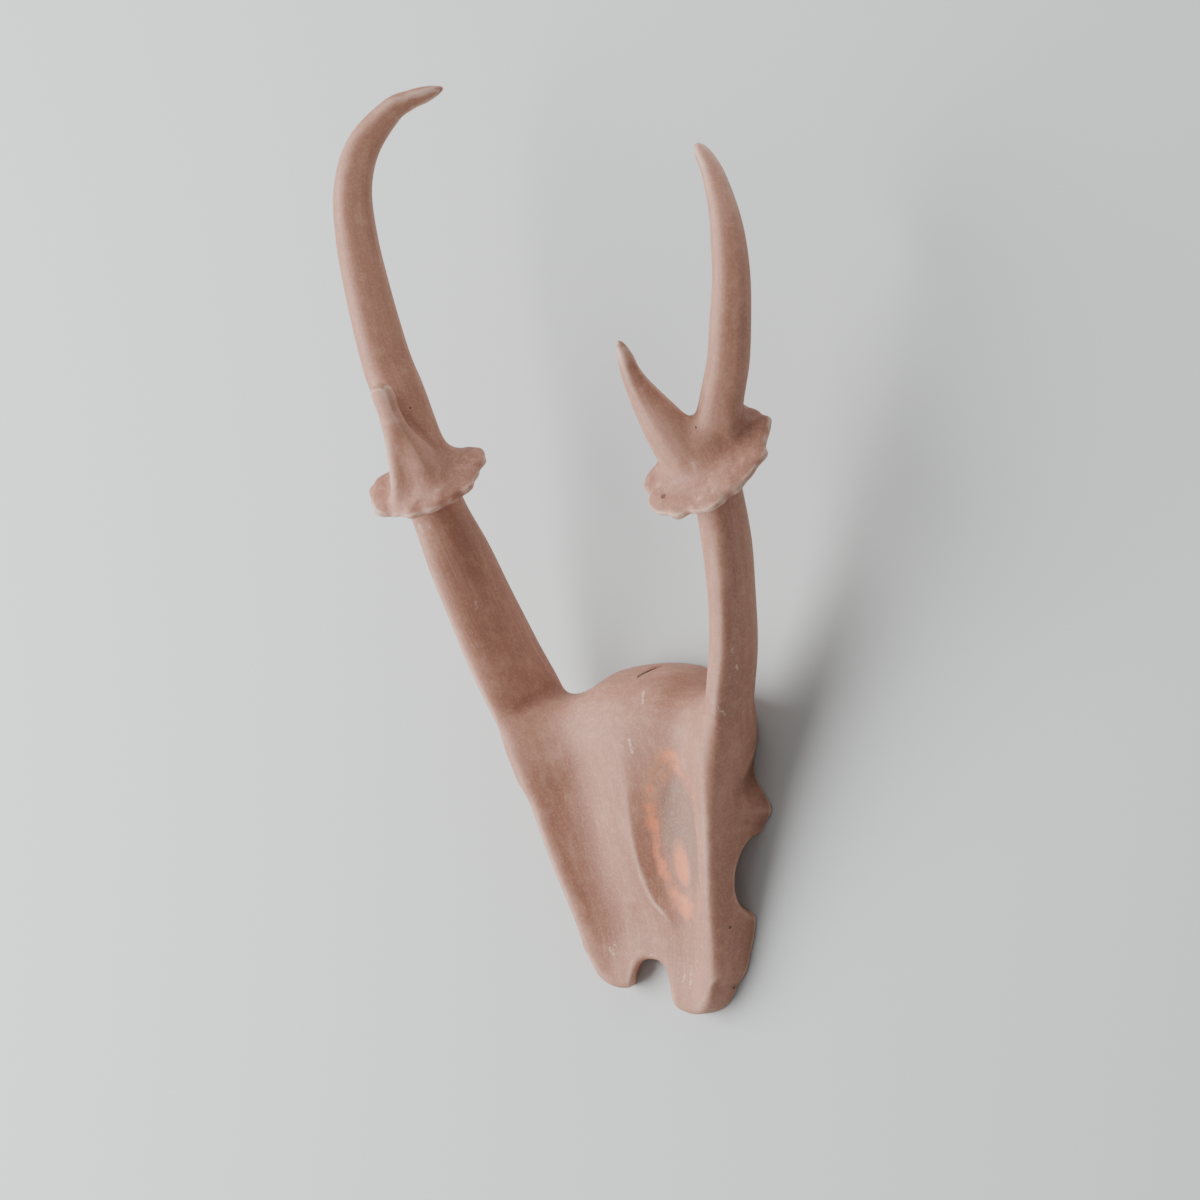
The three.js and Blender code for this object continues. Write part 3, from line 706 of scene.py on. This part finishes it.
BODY = (0.365, 0.17, 0.114, 1)
DEEP_TONE_AND_SHADE = (0.26, 0.108, 0.07, 1)  # dark clouds and streaks, and painted shade in creases and hollows
DUSTY_AND_HIGHLIGHT = (0.53, 0.295, 0.212, 1)  # mottle and streaks, and on edges partly dust, partly painted highlight
PALE = (0.8, 0.64, 0.55, 1)  # sharp rims (partly dust, partly painted highlight), scratches and specks
RAW = (0.66, 0.21, 0.095, 1)  # the body where it is rubbed
DULL = (0.22, 0.125, 0.092, 1)  # inside the rubbed ring
HOLE_SHADE = (0.06, 0.035, 0.03, 1)  # painted shade in pin-holes and along the gash
FLOOR = (0.53, 0.545, 0.54, 1)
SKY, SKY_STRENGTH = (0.95, 0.98, 1, 1), 0.36
BUMP_HEIGHT = 0.0004  # m
LAMP_DISTANCE = 0.9  # m
FLOOR_HALF = 3  # m
SCRATCHES = [  # pale scratches: start, end, width
    ((7.2, 78.4, 21.2), (7.8, 75.6, 21.8), 0.6), ((4.5, 67.4, 23.4), (5.1, 64.3, 23.6), 0.6),
    ((36.3, 75.2, 31.5), (37.2, 73.4, 30.8), 0.4), ((37.4, 73.6, 30), (38.2, 72.4, 29), 0.4),
    ((41.9, 88.9, 33.4), (42.1, 88.3, 33.2), 0.5), ((41.2, 85.2, 30.6), (41.5, 84.2, 30), 0.55),
    ((39.6, 84.2, 20.8), (39.8, 83.2, 20.4), 0.5), ((-45, 122.4, 48.6), (-44.6, 120.6, 48), 0.6),
    ((-42.4, 122.8, 48.4), (-42.1, 121.4, 47.8), 0.55), ((-36.4, 103, 36), (-36.8, 101, 35.4), 0.55),
    ((11.8, 9.6, 10), (11.3, 4.2, 9.4), 0.42), ((9.6, 7.4, 10), (9.2, 6, 9.6), 0.5),
    ((-13.4, 13.2, 9.2), (-12.2, 11.6, 9.2), 0.6), ((-12, 14.6, 9.6), (-11.2, 13.4, 9.6), 0.5),
    ((-1.2, 11.8, 9.2), (0.2, 11.6, 8.8), 0.5), ((46.5, 131.8, 57.2), (46.8, 130.8, 57.2), 0.45),
]
PITS = [  # painted shade in pin-holes and along the gash: start, end, radius
    ((23.4, 20.3, 9), (23.4, 20.3, 9), 0.6), ((20.2, 4.6, 1.8), (20.2, 4.6, 1.8), 0.6),
    ((36.7, 126.1, 56.4), (36.7, 126.1, 56.4), 0.9), ((46.4, 140.4, 54.4), (46.4, 140.4, 54.4), 0.35),
    ((-44.3, 152.2, 52.9), (-44.3, 152.2, 52.9), 0.35), ((2.6, 82.6, 17), (3.5, 85.6, 11.2), 0.85),
]


def on_skin(place):
    """The given place moved straight onto the nearest piece's surface."""
    fields = [cap_field, lambda p: antler_field(p, LEFT), lambda p: antler_field(p, RIGHT)]
    point = np.array([place], float)
    field = min(fields, key=lambda f: abs(f(point)[0]))
    return settle(field, point, 1, 8)[0]


def clay():
    """Unglazed clay: fine-grained and matt, paler on its edges (partly dust, partly painted highlight), with
    painted shade in its hollows, brush streaks that run with the bone, a rubbed patch, a few scratches, and
    painted shade in pin-holes."""
    material = bpy.data.materials.new("clay")
    n = Nodes(material)
    grain, curve = n.attribute("grain", "Vector"), n.attribute("bend", "Fac")
    hollow, rubbed = n.attribute("hollow", "Fac"), n.attribute("worn", "Fac")
    metres = n.add("TexCoord").outputs["Object"]
    place = n.add("VectorMath", {0: n.stretch(metres, (1 / MM,) * 3), 1: tuple(MIDDLE)}, operation="ADD")
    place = place.outputs[0]

    clouds = n.noise(place, 0.045, 4)
    mottle = n.noise(place, 0.28, 5, 0.62)
    speckle = n.noise(place, 1.5, 3, 0.65)
    streaks = n.noise(n.stretch(grain, (1, 0.4, 0.06)), 0.5, 4, 0.6)
    fine_streaks = n.noise(n.stretch(grain, (1, 0.4, 0.05)), 1.9, 3, 0.6)

    colour = n.mix(n.span(clouds, 0.36, 0.66, 0.0, 0.45), BODY, DEEP_TONE_AND_SHADE)
    colour = n.mix(n.span(mottle, 0.45, 0.72, 0.0, 0.4), colour, DUSTY_AND_HIGHLIGHT)
    colour = n.mix(n.span(streaks, 0.48, 0.72, 0.0, 0.3), colour, DUSTY_AND_HIGHLIGHT)
    colour = n.mix(n.span(fine_streaks, 0.52, 0.76, 0.0, 0.13), colour, DUSTY_AND_HIGHLIGHT)
    colour = n.mix(n.span(streaks, 0.5, 0.25, 0.0, 0.3), colour, DEEP_TONE_AND_SHADE)

    # Painted shade in creases and hollows; paler edges, partly dust and partly painted highlight.
    colour = n.mix(n.span(curve, -0.03, -0.3, 0.0, 0.55), colour, DEEP_TONE_AND_SHADE)
    colour = n.mix(n.span(hollow, 0.02, 0.14, 0.0, 0.6), colour, DEEP_TONE_AND_SHADE)
    # Paler sharp edges and rims: partly dust, partly painted highlight; kept off the tips.
    off_tips = n.span(curve, 0.7, 1.3, 1.0, 0.1)
    edge = n.math("MULTIPLY", n.span(curve, 0.12, 0.62), n.span(mottle, 0.3, 0.6, 0.45, 1.0))
    colour = n.mix(n.math("MULTIPLY", n.math("MULTIPLY", edge, 0.7), off_tips), colour, DUSTY_AND_HIGHLIGHT)
    colour = n.mix(n.math("MULTIPLY", n.span(curve, 0.3, 0.9, 0.0, 0.35), off_tips), colour, PALE)

    # Rubbed patch.
    rub = n.noise(n.stretch(grain, (1, 1, 0.3)), 0.9, 4, 0.65)
    rub = n.math("MULTIPLY", n.span(rubbed, 0.1, 0.9), n.span(rub, 0.28, 0.5, 0.45, 1.0))
    colour = n.mix(rub, colour, RAW)
    colour = n.mix(n.span(rubbed, 0.0, -1.0, 0.0, 0.82), colour, DULL)

    # Scratches, pale specks, painted shade in pin-holes and along the gash, and fine speckle.
    marks = n.lines(place, SCRATCHES)
    marks = n.math("MULTIPLY", marks, n.span(speckle, 0.42, 0.58, 0.1, 1.0))
    colour = n.mix(n.math("MULTIPLY", marks, 0.42), colour, PALE)
    specks = n.span(n.noise(place, 1.1, 1, 0.5), 0.78, 0.84)
    colour = n.mix(n.math("MULTIPLY", specks, 0.45), colour, PALE)
    holes = n.lines(place, PITS)
    # Painted shade inside the pin-holes and the gash.
    colour = n.mix(n.math("MULTIPLY", holes, 0.85), colour, HOLE_SHADE)
    colour = n.mix(n.span(speckle, 0.48, 0.7, 0.0, 0.35), colour, DUSTY_AND_HIGHLIGHT)
    colour = n.mix(n.span(speckle, 0.46, 0.28, 0.0, 0.35), colour, DEEP_TONE_AND_SHADE)
    n.put(colour, n.shader.inputs["Base Color"])
    n.put(n.span(mottle, 0.3, 0.7, 0.6, 0.78), n.shader.inputs["Roughness"])

    height = n.math("MULTIPLY", fine_streaks, 0.3)
    height = n.math("ADD", height, n.math("MULTIPLY", speckle, 0.25))
    height = n.math("ADD", height, n.math("MULTIPLY", mottle, 0.6))
    height = n.math("SUBTRACT", height, n.math("MULTIPLY", holes, 2.5))
    bump = n.add("Bump", {"Height": height, "Strength": 0.5, "Distance": BUMP_HEIGHT})
    n.put(bump.outputs[0], n.shader.inputs["Normal"])
    return material


def make_camera():
    """Looks at the cap as the photograph does: from the front, well round to the animal's left."""
    azimuth, elevation = np.radians(37), np.radians(-3)
    frame_size, focal = 1200, 2800  # pixels
    distance = 725  # mm from the nose end, which lies at this place in the frame:
    nose_u, nose_v = 672, 1000
    back = np.array([
        np.sin(azimuth) * np.cos(elevation), np.sin(elevation), np.cos(azimuth) * np.cos(elevation),
    ])
    right = np.array([np.cos(azimuth), 0, -np.sin(azimuth)])
    up = np.cross(back, right)
    aside, above = (nose_u - frame_size / 2) / focal, (frame_size / 2 - nose_v) / focal
    place = distance * (back - right * aside - up * above)
    data = bpy.data.cameras.new("camera")
    data.sensor_width = 36
    data.lens = data.sensor_width * focal / frame_size
    camera = bpy.data.objects.new("camera", data)
    turn = Matrix([list(row) for row in np.stack([right, up, back], 1)])
    camera.matrix_world = Matrix.Translation(list((place - MIDDLE) * MM)) @ turn.to_4x4()
    bpy.context.scene.collection.objects.link(camera)
    bpy.context.scene.camera = camera


def add_lamp(name, toward, size, energy):
    """Round lamp that stands that way from the origin and is turned to it."""
    toward = unit(toward)
    data = bpy.data.lights.new(name, "AREA")
    data.shape = "DISK"
    data.size = size
    data.energy = energy
    lamp = bpy.data.objects.new(name, data)
    lamp.location = toward * LAMP_DISTANCE
    lamp.rotation_mode = "QUATERNION"
    lamp.rotation_quaternion = Vector(-toward).to_track_quat("-Z", "Y")
    bpy.context.scene.collection.objects.link(lamp)


def make_light():
    add_lamp("key", (-0.66, -0.12, 0.73), 1.1, 23)
    add_lamp("fill", (0.1, 0.9, 0.42), 0.7, 3.5)
    world = bpy.data.worlds.new("studio")
    world.use_nodes = True
    world.node_tree.nodes["Background"].inputs["Color"].default_value = SKY
    world.node_tree.nodes["Background"].inputs["Strength"].default_value = SKY_STRENGTH
    bpy.context.scene.world = world


def make_floor():
    mesh = bpy.data.meshes.new("floor")
    corners = [(FLOOR_HALF * x, FLOOR_HALF * y, 0) for x, y in ((-1, -1), (1, -1), (1, 1), (-1, 1))]
    mesh.from_pydata(corners, [], [(0, 1, 2, 3)])
    floor = bpy.data.objects.new("floor", mesh)
    material = bpy.data.materials.new("floor")
    material.use_nodes = True
    shader = material.node_tree.nodes["Principled BSDF"]
    shader.inputs["Base Color"].default_value = FLOOR
    shader.inputs["Roughness"].default_value = 0.9
    mesh.materials.append(material)
    bpy.context.scene.collection.objects.link(floor)


make_camera()
make_light()
make_floor()
finish = clay()
make_piece("skull_cap", cap_field, CAP_SPAN, CAP_CELL, cap_grain, finish)
make_piece(
    "left_antler", lambda p: antler_field(p, LEFT), LEFT_SPAN, ANTLER_CELL,
    lambda p: antler_grain(p, LEFT), finish,
)
make_piece(
    "right_antler", lambda p: antler_field(p, RIGHT), RIGHT_SPAN, ANTLER_CELL,
    lambda p: antler_grain(p, RIGHT), finish,
)
